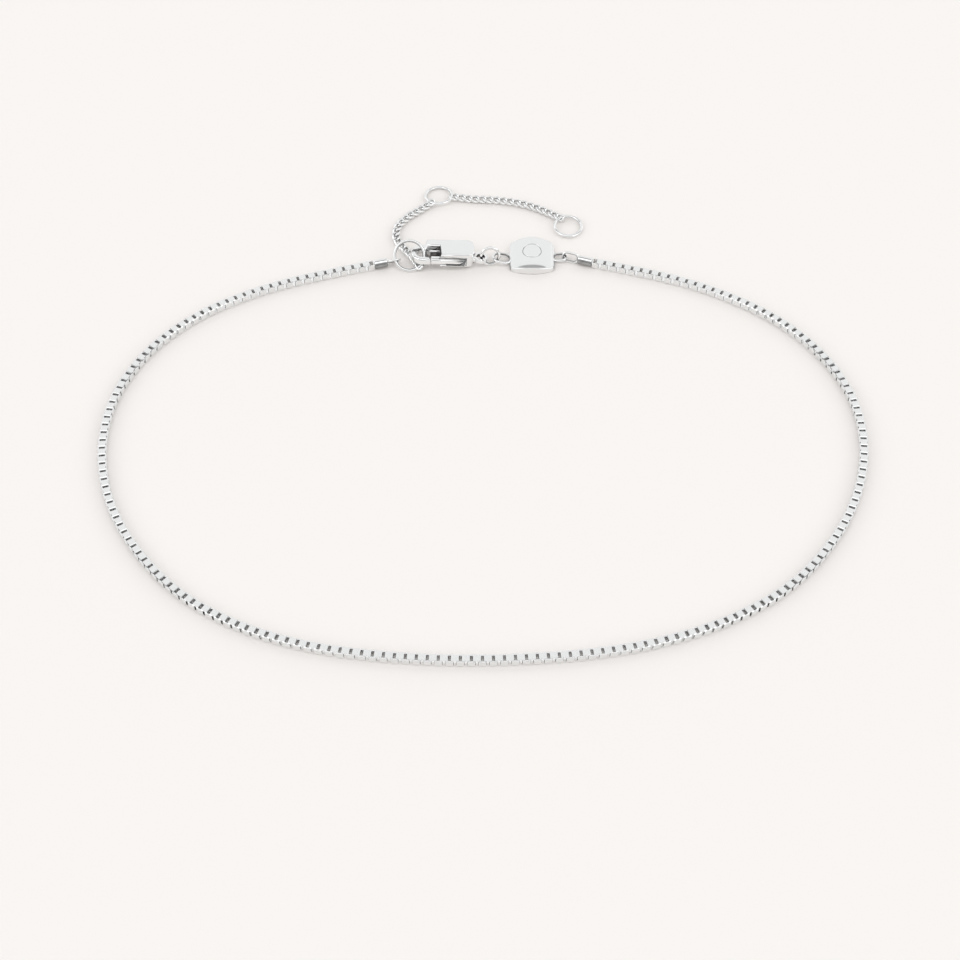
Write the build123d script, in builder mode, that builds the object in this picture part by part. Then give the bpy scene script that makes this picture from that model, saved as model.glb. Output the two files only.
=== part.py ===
"""Chain anklet with a lobster clasp, a domed tag and a curb-chain extender.

The anklet lies as a whole loop on the XY plane. Millimetres, +Z up, +Y towards the clasp; the origin
is the centre of the anklet's bounding box, on the surface that it rests on.
"""

import os
from math import atan2, cos, degrees, radians, sin, tan

from build123d import *

os.makedirs("parts", exist_ok=True)

# ---- driving dimensions -----------------------------------------------------------------------------

# box chain
chain_width = 1.0  # across its flat sides
chain_corner = 0.135  # the square links leave each corner of the box open by this much
solder_gap = 0.09  # between the last link and its cap

# end caps and their soldered wire eyes
cap_diameter = 1.15
cap_edge = 0.10
eye_wire = 0.30
eye_overlap = 0.12  # how far an eye is let into its cap
right_eye_length = 2.25
right_eye_width = 1.36
left_eye_length = 1.85
left_eye_width = 1.75

# rings
closing_ring_diameter = 4.1
closing_ring_wire = 0.40
extender_ring_diameter = 3.8
extender_ring_wire = 0.42
jump_ring_diameter = 2.66
jump_ring_wire = 0.38

# curb chain of the extender, as plain oval links
link_length = 1.46
link_width = 1.0
link_wire = 0.22
link_inset = 0.20  # from an end link's centre to the wire of the ring it holds
settling_links = 3  # the links over which an end link's roll dies out
inner_links = 17
outer_links = 17

# tag
tag_width = 5.65
tag_depth = 5.6  # through the middle
tag_bow = 0.6  # how far its near and far edges bow outwards
tag_middle = 1.3  # thickness at the crown of the dome
tag_edge = 0.38  # thickness at the two thin edges
tag_corner = 0.5
tag_soft_edge = 0.28
tag_loop_wire = 0.34
left_loop_length = 2.5
left_loop_width = 1.9
right_loop_length = 2.0
right_loop_width = 1.5
engraving_radius = 1.15
engraving_width = 0.14
engraving_depth = 0.07
engraving_offset = 0.2  # from the tag's middle, towards its far edge

# lobster clasp, in its own frame: x from the nose to the tail, y from the lever to the far arm
clasp_thickness = 2.0
hook_base = 0.26  # the hook's bar lies low in the block's thickness
hook_thickness = 0.92
hook_radius = 1.56  # outer curve of the hook
hook_arm = 0.75  # width of the nose's bar
far_arm = 0.97  # width of the far arm where it leaves the curve
ledge_start = 2.5  # x from where the far arm has its full width
ledge_width = 0.15
inner_curve_x = 1.5
nose_end = 2.37  # x where the nose meets the lever
block_start = 3.64
block_end = 7.95
block_rounding = 0.2
block_tail_corner = 0.9
hook_root = 4.4  # where the far arm ends inside the block
hook_rounding = 0.28
arm_rise_start = 1.95  # x where the far arm starts to rise to the block's height
arm_rise_end = 2.15
far_wall_width = 1.22
block_inset = 0.05  # the lever stands proud of the block by this much
slot_base = 0.24
slot_height = 1.18
slot_wall_turn = 4.0  # x where the slot's far wall starts to slant
slot_margin = 0.1
pin_x = 6.2
pin_y = 0.8
pin_radius = 0.25
pin_clearance = 0.04
lever_gap = 0.10  # between the nose and the lever
lever_bar = 0.66  # width of the lever's bar
lever_base = 0.32
lever_thickness = 0.88
lever_boss = 0.60
lever_end = 6.85
lever_tip_rounding = 0.1
lever_front_rounding = 0.28
tab_start = 4.3
tab_start_height = 0.5
tab_reach = 0.5  # how far the thumb tab stands out
tab_slope = 30  # degrees that its sides slope
tab_curve = [(6.5, 0.86), (6.15, 0.62), (5.6, 0.53)]  # its upper edge falls towards the nose: x, z
tail_eye_x = 8.7
tail_eye_y = 0.75
tail_eye_radius = 0.88
tail_eye_hole = 0.54
tail_eye_thickness = 0.45
tail_neck_length = 1.4
tail_neck_width = 1.1
tail_neck_y = 0.85

# ---- where the pieces lie ----------------------------------------------------------------------------

rest_height = chain_width / 2

# corners of the chain's route on the surface, from each cap to the front where the halves meet: x, y
right_route = [
    (21.15, 20.75),
    (28.4, 17.85),
    (35.05, 13.7),
    (40.3, 7.9),
    (43.55, 0.6),
    (44.05, -7.2),
    (42.15, -14.8),
    (38.3, -21.65),
    (33.05, -27.35),
    (26.4, -31.4),
    (19.1, -34.1),
    (11.5, -35.6),
    (3.8, -36.2),
]
left_route = [
    (-21.1, 20.3),
    (-28.4, 17.55),
    (-35.1, 13.5),
    (-40.4, 7.75),
    (-43.6, 0.45),
    (-44.1, -7.4),
    (-42.4, -15.0),
    (-38.65, -21.85),
    (-33.4, -27.75),
    (-26.75, -31.95),
    (-19.35, -34.55),
    (-11.7, -35.8),
    (-3.95, -36.35),
]
front_meeting_point = (0.15, -36.3)

right_cap_outer = Vector(13.57, 22.71, cap_diameter / 2)
right_cap_inner = Vector(11.86, 23.23, 0.62)
left_cap_outer = Vector(-13.55, 22.32, cap_diameter / 2)
left_cap_inner = Vector(-11.94, 22.60, 0.74)
right_eye_lean = 62  # degrees from lying flat, its far side raised
left_eye_lean = -51.5  # its near side raised

closing_ring_at = Vector(-9.2, 23.04, 1.44)
closing_ring_lean = 42  # degrees from lying flat, its far side raised on the clasp
jump_ring_at = Vector(0.86, 23.10, 1.29)
jump_ring_lean = 74
jump_ring_turn = 8

clasp_tail_at = Vector(-0.36, 22.1, 0.18)  # below the tail eye, on the lever's side
clasp_pitch = 5.75  # degrees that the nose is raised, resting on the closing ring
clasp_yaw = 4.4
clasp_roll = 6.0

tag_at = Vector(6.1, 23.9, 0)
left_loop_at = (2.35, 23.35, 0.66)
left_loop_tilt = 12  # degrees about Y, its outer end raised
right_loop_at = (9.55, 23.68, 0.50)
right_loop_tilt = -6

middle_ring_at = (-5.7, 34.95)
end_ring_at = (10.8, 29.35)
inner_start_angle = -46  # where the extender holds the closing ring
inner_end_angle = -123  # where it holds the middle ring
outer_start_angle = -10
outer_end_angle = 125
middle_ring_raised = 0.58  # height of its wire where its two chains prop it up

# points that the two stretches of the extender pass, between their rings: x, y
inner_route = [
    (-8.75, 23.7),
    (-9.75, 25.1),
    (-10.75, 26.6),
    (-11.0, 28.0),
    (-10.65, 29.5),
    (-9.45, 31.1),
    (-7.95, 32.35),
]
outer_route = [(-1.4, 34.3), (1.5, 34.1), (4.3, 33.6), (7.0, 32.55)]


def unit_normal(long_axis, normal):
    """The part of a normal that is square to the long axis."""
    along = Vector(*long_axis).normalized()
    square = Vector(*normal) - along * along.dot(Vector(*normal))
    return square.normalized()


# ---- shapes used more than once ----------------------------------------------------------------------


def wire_ring(plane, diameter, wire):
    """A closed round ring lying on a plane."""
    with BuildPart(plane) as ring:
        Torus((diameter - wire) / 2, wire / 2)
    return ring.part


def wire_oval(plane, length, width, wire):
    """A closed oval of round wire: two straight sides and two half rounds, long along the plane's x."""
    side = (width - wire) / 2
    half = (length - width) / 2
    with BuildPart() as oval:
        with BuildLine(plane) as path:
            Line((0, side), (half, side))
            ThreePointArc((half, side), (half + side, 0), (half, -side))
            Line((half, -side), (-half, -side))
            ThreePointArc((-half, -side), (-half - side, 0), (-half, side))
            Line((-half, side), (0, side))
        with BuildSketch(Plane(origin=path.line @ 0, z_dir=path.line % 0)):
            Circle(wire / 2)
        sweep(path=path.line)
    return oval.part


def chain_half(route, start, meeting):
    """A tube of the box chain's outer shape: straight runs joined by arcs as large as the runs allow."""
    points = [Vector(start.X, start.Y, rest_height)]
    points += [Vector(x, y, rest_height) for x, y in route]
    points += [Vector(*meeting, rest_height)]
    radii = []
    for before, corner, after in zip(points, points[1:], points[2:]):
        shorter = min((corner - before).length, (after - corner).length)
        half_turn = radians((corner - before).get_angle(after - corner)) / 2
        radii.append(0.45 * shorter / tan(half_turn))
    print("chain arc radii", [round(r, 1) for r in radii])
    with BuildPart() as half:
        with BuildLine() as path:
            FilletPolyline(*points, radius=radii)
        with BuildSketch(Plane(origin=path.line @ 0, x_dir=(0, 0, 1), z_dir=path.line % 0)) as section:
            Rectangle(chain_width, chain_width)
            chamfer(section.vertices(), chain_corner)
        sweep(path=path.line)
    length = sum(edge.length for edge in path.line.edges())
    filled = half.part.volume / (section.sketch.area * length)
    print("chain length", round(length, 2), "volume over section x length", round(filled, 4))
    return half.part


def end_cap(outer, inner, eye_length, eye_width, eye_lean):
    """A barrel between two points, with a wire eye soldered to its inner end."""
    axis = (inner - outer).normalized()
    with BuildPart() as cap:
        with BuildSketch(Plane(origin=outer, z_dir=axis)):
            Circle(cap_diameter / 2)
        extrude(amount=(inner - outer).length)
        chamfer(cap.edges().filter_by(GeomType.CIRCLE), cap_edge)
    eye_plane = Plane(
        origin=inner + axis * (eye_length / 2 - eye_overlap),
        x_dir=axis,
        z_dir=unit_normal(axis, (0, -sin(radians(eye_lean)), cos(radians(eye_lean)))),
    )
    return cap.part + wire_oval(eye_plane, eye_length, eye_width, eye_wire)


def leaning_plane(at, lean, turn=0):
    """A plane through a point, its far side raised by leaning, then turned about the vertical."""
    across = Vector(0, -sin(radians(lean)), cos(radians(lean))).rotate(Axis.Z, turn)
    return Plane(origin=at, x_dir=Vector(1, 0, 0).rotate(Axis.Z, turn), z_dir=across)


def propped_plane(at, raised_towards, high, low):
    """A ring's plane: its wire is at one height on the side that its chain props up, lower opposite."""
    radius = (extender_ring_diameter - extender_ring_wire) / 2
    slope = (high - low) / (2 * radius)
    side = Vector(cos(radians(raised_towards)), sin(radians(raised_towards)), 0)
    normal = (Vector(0, 0, 1) - side * slope).normalized()
    return Plane(origin=(*at, (high + low) / 2), x_dir=unit_normal(normal, (1, 0, 0)), z_dir=normal)


def point_on_ring(plane, radius, angle):
    """A point on a ring's wire, by its angle from the plane's x."""
    return plane.from_local_coords((radius * cos(radians(angle)), radius * sin(radians(angle)), 0))


def link_chain(start, end, route, count, first_wire, last_wire):
    """Interlocking oval links along a curve, each a quarter round from the last; end links cross a ring."""
    middle = [Vector(x, y, link_width / 2) for x, y in route]
    with BuildLine() as path:
        Spline(start, *middle, end)
    length = path.line.edge().length
    pitch = (length - 2 * link_inset) / (count - 1)
    print("links", count, "pitch", round(pitch, 3))
    start_roll = end_roll(path.line % (link_inset / length), first_wire)
    last_roll = end_roll(path.line % (1 - link_inset / length), last_wire)
    links = []
    for index in range(count):
        at = (link_inset + index * pitch) / length
        along = path.line % at
        roll = 90 * index
        roll += start_roll * max(0, 1 - index / settling_links)
        roll += last_roll * max(0, 1 - (count - 1 - index) / settling_links)
        level = Vector(0, 0, 1).cross(along).normalized()
        normal = level * cos(radians(roll)) + along.cross(level) * sin(radians(roll))
        plane = Plane(origin=path.line @ at, x_dir=along, z_dir=normal)
        links.append(wire_oval(plane, link_length, link_width, link_wire))
    return Compound(children=links)


def end_roll(along, ring_wire):
    """How far an end link rolls from upright so that the ring's wire passes square through it."""
    level = Vector(0, 0, 1).cross(along).normalized()
    square = unit_normal(along, ring_wire)
    if square.dot(level) < 0:
        square = -square
    return degrees(atan2(square.dot(along.cross(level)), square.dot(level)))


# ---- box chain, in two halves ------------------------------------------------------------------------

right_axis = (right_cap_outer - right_cap_inner).normalized()
left_axis = (left_cap_outer - left_cap_inner).normalized()
meeting_gap = solder_gap / 2

box_chain_right = chain_half(
    right_route,
    right_cap_outer + right_axis * solder_gap,
    (front_meeting_point[0] + meeting_gap, front_meeting_point[1]),
)
box_chain_left = chain_half(
    left_route,
    left_cap_outer + left_axis * solder_gap,
    (front_meeting_point[0] - meeting_gap, front_meeting_point[1]),
)

# ---- end caps ----------------------------------------------------------------------------------------

end_cap_right = end_cap(right_cap_outer, right_cap_inner, right_eye_length, right_eye_width, right_eye_lean)
end_cap_left = end_cap(left_cap_outer, left_cap_inner, left_eye_length, left_eye_width, left_eye_lean)

# ---- rings -------------------------------------------------------------------------------------------

closing_plane = leaning_plane(closing_ring_at, closing_ring_lean)
closing_ring = wire_ring(closing_plane, closing_ring_diameter, closing_ring_wire)
jump_plane = leaning_plane(jump_ring_at, jump_ring_lean, jump_ring_turn)
jump_ring = wire_ring(jump_plane, jump_ring_diameter, jump_ring_wire)

lowest = extender_ring_wire / 2
middle_ring_side = (inner_end_angle + outer_start_angle) / 2
middle_plane = propped_plane(middle_ring_at, middle_ring_side, middle_ring_raised, lowest)
end_plane = propped_plane(end_ring_at, outer_end_angle, link_width / 2, lowest)
extender_ring_middle = wire_ring(middle_plane, extender_ring_diameter, extender_ring_wire)
extender_ring_end = wire_ring(end_plane, extender_ring_diameter, extender_ring_wire)

# ---- extender ----------------------------------------------------------------------------------------

closing_radius = (closing_ring_diameter - closing_ring_wire) / 2
ring_radius = (extender_ring_diameter - extender_ring_wire) / 2
inner_start = point_on_ring(closing_plane, closing_radius, inner_start_angle)
inner_end = point_on_ring(middle_plane, ring_radius, inner_end_angle)
outer_start = point_on_ring(middle_plane, ring_radius, outer_start_angle)
outer_end = point_on_ring(end_plane, ring_radius, outer_end_angle)


def ring_tangent(plane, angle):
    """The direction of a ring's wire at an angle from the plane's x."""
    ahead = point_on_ring(plane, 1, angle + 90)
    return ahead - plane.origin


extender_chain_inner = link_chain(
    inner_start,
    inner_end,
    inner_route,
    inner_links,
    ring_tangent(closing_plane, inner_start_angle),
    ring_tangent(middle_plane, inner_end_angle),
)
extender_chain_outer = link_chain(
    outer_start,
    outer_end,
    outer_route,
    outer_links,
    ring_tangent(middle_plane, outer_start_angle),
    ring_tangent(end_plane, outer_end_angle),
)

# ---- tag ---------------------------------------------------------------------------------------------

dome_drop = tag_middle - tag_edge
dome_radius = (tag_width**2 / 4 + dome_drop**2) / (2 * dome_drop)
tag_front = tag_at.Y - tag_depth / 2
half_width = tag_width / 2
half_depth = tag_depth / 2
corner_y = half_depth - tag_bow

with BuildPart() as tag_blank:
    with BuildSketch(Plane(origin=tag_at)) as tag_outline:
        with BuildLine():
            Line((half_width, corner_y), (half_width, -corner_y))
            ThreePointArc((half_width, -corner_y), (0, -half_depth), (-half_width, -corner_y))
            Line((-half_width, -corner_y), (-half_width, corner_y))
            ThreePointArc((-half_width, corner_y), (0, half_depth), (half_width, corner_y))
        make_face()
        fillet(tag_outline.vertices(), tag_corner)
    extrude(amount=tag_middle)
    with BuildSketch(Plane(origin=(tag_at.X, tag_front, 0), x_dir=(1, 0, 0), z_dir=(0, -1, 0))):
        with BuildLine():
            Line((-half_width, tag_edge), (-half_width, 0))
            Line((-half_width, 0), (half_width, 0))
            Line((half_width, 0), (half_width, tag_edge))
            ThreePointArc((half_width, tag_edge), (0, tag_middle), (-half_width, tag_edge))
        make_face()
    extrude(amount=-tag_depth, mode=Mode.INTERSECT)
    fillet(tag_blank.faces().sort_by(Axis.Z)[-1].edges(), tag_soft_edge)

with BuildPart() as engraving:
    with BuildSketch(Plane.XY.offset(tag_edge)) as ring_line:
        with Locations((tag_at.X, tag_at.Y + engraving_offset)):
            Circle(engraving_radius + engraving_width / 2)
            Circle(engraving_radius - engraving_width / 2, mode=Mode.SUBTRACT)
    extrude(amount=tag_middle)
    with BuildSketch(Plane.XZ.offset(-tag_front - tag_depth)) as floor:
        with Locations((tag_at.X, tag_middle - dome_radius)):
            Circle(dome_radius - engraving_depth)
    extrude(amount=tag_depth, mode=Mode.SUBTRACT)

left_loop_plane = Plane(Location(left_loop_at, (0, left_loop_tilt, 0)))
right_loop_plane = Plane(Location(right_loop_at, (0, right_loop_tilt, 0)))
tag = tag_blank.part - engraving.part
tag += wire_oval(left_loop_plane, left_loop_length, left_loop_width, tag_loop_wire)
tag += wire_oval(right_loop_plane, right_loop_length, right_loop_width, tag_loop_wire)

# ---- lobster clasp -----------------------------------------------------------------------------------

pitch_angle = radians(clasp_pitch)
yaw_angle = radians(clasp_yaw)
clasp_along = Vector(cos(pitch_angle) * cos(yaw_angle), cos(pitch_angle) * sin(yaw_angle), -sin(pitch_angle))
clasp_upright = Plane(origin=(0, 0, 0), x_dir=clasp_along, z_dir=unit_normal(clasp_along, (0, 0, 1)))
clasp_up = clasp_upright.from_local_coords((0, sin(radians(clasp_roll)), cos(radians(clasp_roll))))
clasp_plane = Plane(origin=clasp_tail_at - clasp_along * tail_eye_x, x_dir=clasp_along, z_dir=clasp_up)

far_edge = 2 * hook_radius
inner_radius = (far_edge - far_arm - hook_arm) / 2
slot_far_side = far_edge - far_wall_width
ledge_y = slot_far_side - ledge_width

clasp_side = Plane(origin=clasp_plane.origin, x_dir=clasp_plane.x_dir, z_dir=-clasp_plane.y_dir)
clasp_up_axis = Axis(clasp_plane.origin, clasp_plane.z_dir)
clasp_long_axis = Axis(clasp_plane.origin, clasp_plane.x_dir)
clasp_front_axis = Axis(clasp_plane.origin, -clasp_plane.y_dir)

with BuildPart() as hook:
    with BuildSketch(clasp_plane.offset(hook_base)):
        with BuildLine():
            Line((nose_end, 0), (hook_radius, 0))
            ThreePointArc((hook_radius, 0), (0, hook_radius), (hook_radius, far_edge))
            Line((hook_radius, far_edge), (hook_root, far_edge))
            Line((hook_root, far_edge), (hook_root, ledge_y))
            Line((hook_root, ledge_y), (ledge_start, ledge_y))
            Line((ledge_start, ledge_y), (inner_curve_x, far_edge - far_arm))
            ThreePointArc(
                (inner_curve_x, far_edge - far_arm),
                (inner_curve_x - inner_radius, hook_arm + inner_radius),
                (inner_curve_x, hook_arm),
            )
            Line((inner_curve_x, hook_arm), (nose_end, lever_bar))
            Line((nose_end, lever_bar), (nose_end, 0))
        make_face()
    extrude(amount=hook_thickness)
    fillet(hook.edges().group_by(clasp_up_axis)[-1], hook_rounding)
    fillet(hook.edges().group_by(clasp_up_axis)[0], hook_rounding)

with BuildPart() as far_wall:
    with BuildSketch(clasp_side.offset(-far_edge)):
        with BuildLine():
            Polyline(
                (arm_rise_start, hook_base),
                (arm_rise_end, 0),
                (hook_root, 0),
                (hook_root, clasp_thickness),
                (arm_rise_end, clasp_thickness),
                (arm_rise_start, hook_base + hook_thickness),
                close=True,
            )
        make_face()
    extrude(amount=far_wall_width)
    fillet(far_wall.edges().filter_by(clasp_long_axis).group_by(clasp_up_axis)[-1], block_rounding)

with BuildPart() as block:
    with BuildSketch(clasp_plane) as outline:
        with Locations(((block_start + block_end) / 2, (block_inset + far_edge) / 2)):
            Rectangle(block_end - block_start, far_edge - block_inset)
        fillet(outline.vertices().group_by(Axis.X)[-1], block_tail_corner)
    extrude(amount=clasp_thickness)
    fillet(block.edges().group_by(clasp_up_axis)[-1], block_rounding)
    fillet(block.edges().group_by(clasp_up_axis)[0], block_rounding)
    with BuildSketch(clasp_plane.offset(slot_base)):
        with BuildLine():
            Polyline(
                (block_start - slot_margin, -slot_margin),
                (block_start - slot_margin, slot_far_side),
                (slot_wall_turn, slot_far_side),
                (lever_end + slot_margin, pin_y + lever_boss + slot_margin),
                (lever_end + slot_margin, -slot_margin),
                close=True,
            )
        make_face()
    extrude(amount=slot_height, mode=Mode.SUBTRACT)
    with BuildSketch(clasp_plane):
        with Locations((pin_x, pin_y)):
            Circle(pin_radius)
    extrude(amount=clasp_thickness)
    with BuildSketch(clasp_plane.offset((clasp_thickness - tail_eye_thickness) / 2)):
        with Locations((tail_eye_x, tail_eye_y)):
            Circle(tail_eye_radius)
        with Locations((block_end, tail_neck_y)):
            Rectangle(tail_neck_length, tail_neck_width)
    extrude(amount=tail_eye_thickness)
    with BuildSketch(clasp_plane):
        with Locations((tail_eye_x, tail_eye_y)):
            Circle(tail_eye_hole)
    extrude(amount=clasp_thickness, mode=Mode.SUBTRACT)

clasp_body = hook.part + far_wall.part + block.part

with BuildPart() as lever:
    with BuildSketch(clasp_plane.offset(lever_base)):
        with BuildLine():
            Polyline(
                (nose_end + lever_gap, 0),
                (lever_end, 0),
                (lever_end, pin_y),
                (pin_x - lever_boss, pin_y),
                (pin_x - 2 * lever_boss, lever_bar),
                (nose_end + lever_gap, lever_bar),
                close=True,
            )
        make_face()
        with Locations((pin_x, pin_y)):
            Circle(lever_boss)
    extrude(amount=lever_thickness)
    fillet(lever.edges().filter_by(clasp_long_axis).group_by(clasp_front_axis)[-1], lever_front_rounding)
    fillet(lever.edges().group_by(clasp_long_axis)[0], lever_tip_rounding)
    with BuildSketch(clasp_side):
        with BuildLine():
            Polyline((tab_start, tab_start_height), (tab_start, lever_base), (lever_end, lever_base))
            Line((lever_end, lever_base), (lever_end, lever_base + lever_thickness))
            Spline((lever_end, lever_base + lever_thickness), *tab_curve, (tab_start, tab_start_height))
        make_face()
    extrude(amount=tab_reach, taper=tab_slope)
    with BuildSketch(clasp_plane):
        with Locations((pin_x, pin_y)):
            Circle(pin_radius + pin_clearance)
    extrude(amount=clasp_thickness, mode=Mode.SUBTRACT)

pieces = {
    "box_chain_right": box_chain_right,
    "box_chain_left": box_chain_left,
    "end_cap_right": end_cap_right,
    "end_cap_left": end_cap_left,
    "closing_ring": closing_ring,
    "jump_ring": jump_ring,
    "extender_ring_middle": extender_ring_middle,
    "extender_ring_end": extender_ring_end,
    "extender_chain_inner": extender_chain_inner,
    "extender_chain_outer": extender_chain_outer,
    "tag": tag,
    "clasp_body": clasp_body,
    "clasp_lever": lever.part,
}
for label, piece in pieces.items():
    piece.label = label
    export_step(piece, f"parts/{label}.step")
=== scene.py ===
"""Chain anklet in polished silver: its finish, interlocking links and studio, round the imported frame.

Lengths are in metres in the frame, with +Z up from the surface that the anklet lies on. Sizes given in
millimetres are multiplied by MM.
"""

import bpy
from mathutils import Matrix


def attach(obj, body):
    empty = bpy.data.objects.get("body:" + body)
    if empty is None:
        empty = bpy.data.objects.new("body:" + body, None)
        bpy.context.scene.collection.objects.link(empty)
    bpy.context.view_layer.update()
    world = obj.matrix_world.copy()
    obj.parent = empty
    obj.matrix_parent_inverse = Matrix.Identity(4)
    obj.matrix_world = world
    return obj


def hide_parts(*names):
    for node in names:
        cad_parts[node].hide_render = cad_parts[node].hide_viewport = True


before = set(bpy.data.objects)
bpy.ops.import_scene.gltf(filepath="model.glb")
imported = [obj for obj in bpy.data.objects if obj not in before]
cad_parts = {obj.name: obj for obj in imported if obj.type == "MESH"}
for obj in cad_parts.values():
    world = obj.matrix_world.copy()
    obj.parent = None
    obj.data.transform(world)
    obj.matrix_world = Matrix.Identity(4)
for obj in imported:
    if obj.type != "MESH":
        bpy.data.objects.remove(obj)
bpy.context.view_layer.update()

from math import cos, pi, radians, sin

import bmesh
import bpy
import numpy as np

bl_info = {
    "name": "Chain anklet",
    "version": (1, 0, 0),
    "blender": (4, 5, 0),
    "location": "3D View > Sidebar > Anklet",
    "description": "Builds the box chain, curb chain, clasp, rings and tag of a silver anklet",
    "category": "Add Mesh",
}

MM = 0.001
UP = np.array([0.0, 0.0, 1.0])

# ---- where the pieces lie, in millimetres, as in the part's source ---------------------------------------

CHAIN_REST = 0.5  # height of the box chain's centre line
CHAIN_FROM_CAP = 0.02  # gap between a cap's outer end and the first link
LINK_OUTER_CORNER, LINK_INNER_CORNER = 0.11, 0.03
FRONT_MEETING = (0.15, -36.3)
RIGHT_ROUTE = [
    (21.15, 20.75),
    (28.4, 17.85),
    (35.05, 13.7),
    (40.3, 7.9),
    (43.55, 0.6),
    (44.05, -7.2),
    (42.15, -14.8),
    (38.3, -21.65),
    (33.05, -27.35),
    (26.4, -31.4),
    (19.1, -34.1),
    (11.5, -35.6),
    (3.8, -36.2),
]
LEFT_ROUTE = [
    (-21.1, 20.3),
    (-28.4, 17.55),
    (-35.1, 13.5),
    (-40.4, 7.75),
    (-43.6, 0.45),
    (-44.1, -7.4),
    (-42.4, -15.0),
    (-38.65, -21.85),
    (-33.4, -27.75),
    (-26.75, -31.95),
    (-19.35, -34.55),
    (-11.7, -35.8),
    (-3.95, -36.35),
]

# ends of each cap's barrel, and its wire eye: length, width, lean in degrees from lying flat
CAPS = {
    "right": {"outer": (13.57, 22.71, 0.575), "inner": (11.86, 23.23, 0.62), "eye": (2.25, 1.36, 62.0)},
    "left": {"outer": (-13.55, 22.32, 0.575), "inner": (-11.94, 22.60, 0.74), "eye": (1.85, 1.75, -51.5)},
}
EYE_OVERLAP, EYE_WIRE = 0.12, 0.30
# one end of a cap's barrel: distances along its axis and from it
CAP_END = ((0, 0), (0, 0.46), (0.03, 0.53), (0.10, 0.57), (0.16, 0.575))
CAP_SMOOTH = 50  # degrees: flatter edges are smooth
# painted reflection on the lower half: the way it faces, how squarely it does, and how much of the dark tone
# it has
CAP_REFLECTION_WAY, CAP_REFLECTION_FROM, CAP_REFLECTION_SHARE = np.array([0, -0.78, -0.62]), 0.05, 0.85

# centre, outer diameter, wire, lean and turn in degrees
CLOSING_RING = {"at": (-9.2, 23.04, 1.44), "across": 4.1, "wire": 0.40, "lean": 42.0, "turn": 0.0}
JUMP_RING = {"at": (0.86, 23.10, 1.29), "across": 2.66, "wire": 0.38, "lean": 74.0, "turn": 8.0}

# extender rings: centre, the side their chains prop up in degrees, and their wire's height there
EXTENDER_RING_ACROSS = 3.8
EXTENDER_RING_WIRE = 0.42
EXTENDER_RING_RADIUS = (EXTENDER_RING_ACROSS - EXTENDER_RING_WIRE) / 2
MIDDLE_RING = {"at": (-5.7, 34.95), "raised": -66.5, "high": 0.58}
END_RING = {"at": (10.8, 29.35), "raised": 125.0, "high": 0.50}

# curb chains: the points that each passes between its rings, and the height of its middle line
INNER_ROUTE = [
    (-8.75, 23.7),
    (-9.75, 25.1),
    (-10.75, 26.6),
    (-11.0, 28.0),
    (-10.65, 29.5),
    (-9.45, 31.1),
    (-7.95, 32.35),
]
OUTER_ROUTE = [(-1.4, 34.3), (1.5, 34.1), (4.3, 33.6), (7.0, 32.55)]
CURB_REST = 0.42
CURB_COUNT = 17  # links in each of the two
CURB_INSET = 0.20  # from a ring's wire to the middle of the nearest link
# where each begins and ends on its rings, in degrees from their across directions
INNER_FROM, INNER_TO, OUTER_FROM, OUTER_TO = -46, -123, -10, 125

# tag: plan size through its middle, bow of its near and far edges, thickness at the crown and at the sides
TAG_AT = np.array([6.1, 23.9, 0.0])
TAG_WIDTH, TAG_DEPTH, TAG_BOW = 5.65, 5.6, 0.6
TAG_MIDDLE, TAG_EDGE = 1.3, 0.38
TAG_SIDE_ROUNDING, TAG_BOW_ROUNDING = 0.22, 0.04
TAG_FALL, TAG_FALL_REACH, TAG_FALL_WIDTH = 0.16, 0.85, 0.9  # how the top falls towards its bowed edges
TAG_CORNER_POWER = 14.0  # the higher, the sharper the outline's four corners
TAG_FOOT = 0.05  # bevel round the underside
TAG_BOW_FROM, TAG_SIDE_TO = 0.6, 0.62  # |sin a| of the directions where bowed edges begin and side edges end
TAG_EDGE_SHADE = 0.8  # how much painted shade the front halves of the side edges have, as a share of the dark tone
# corners over the tag: directions, rings in each part, where the first lies, how far the fine ones reach as
# a share of the groove, and how far within them the plain ones stop
TAG_DIRECTIONS = 288
MIDDLE_RINGS, GROOVE_RINGS, OUTER_RINGS, RIM_RINGS = 7, 13, 13, 12
FIRST_RING, GROOVE_REACH, GROOVE_MARGIN = 0.2, 1.25, 0.05
TAG_LOOPS = (
    {"at": (2.35, 23.35, 0.66), "tilt": 12.0, "length": 2.5, "width": 1.9},
    {"at": (9.55, 23.68, 0.50), "tilt": -6.0, "length": 2.0, "width": 1.5},
)
TAG_LOOP_WIRE = 0.34
ENGRAVED_RADIUS, ENGRAVED_WIDTH, ENGRAVED_DEPTH, ENGRAVED_OFFSET = 1.15, 0.16, 0.07, 0.2

# clasp: the floor point under its tail eye, how far along it that is, and its three turns in degrees
CLASP_TAIL = np.array([-0.36, 22.1, 0.18])
CLASP_LONG = 8.7
CLASP_PITCH, CLASP_YAW, CLASP_ROLL = 5.75, 4.4, 6.0
CLASP_SMOOTH = 30  # degrees: flatter edges are smooth
NOSE_SHADE, SLOT_SHADE = 0.65, 0.45  # painted shade in the half hidden recesses; the others have 1

# wires: points round the loop and round the wire itself
RING_POINTS, RING_SIDES = 96, 20
LOOP_POINTS, LOOP_SIDES = 48, 16
CURB_POINTS, CURB_SIDES = 24, 8

# ---- studio ----------------------------------------------------------------------------------------------

CAMERA_AT = np.array([-0.4, -148.24, 171.87])
CAMERA_DOWN, CAMERA_LENS, CAMERA_SENSOR = 51.5, 72.3, 36
CAMERA_CLIP = (0.01, 10)
FLOOR_HALF = 6000

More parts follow.
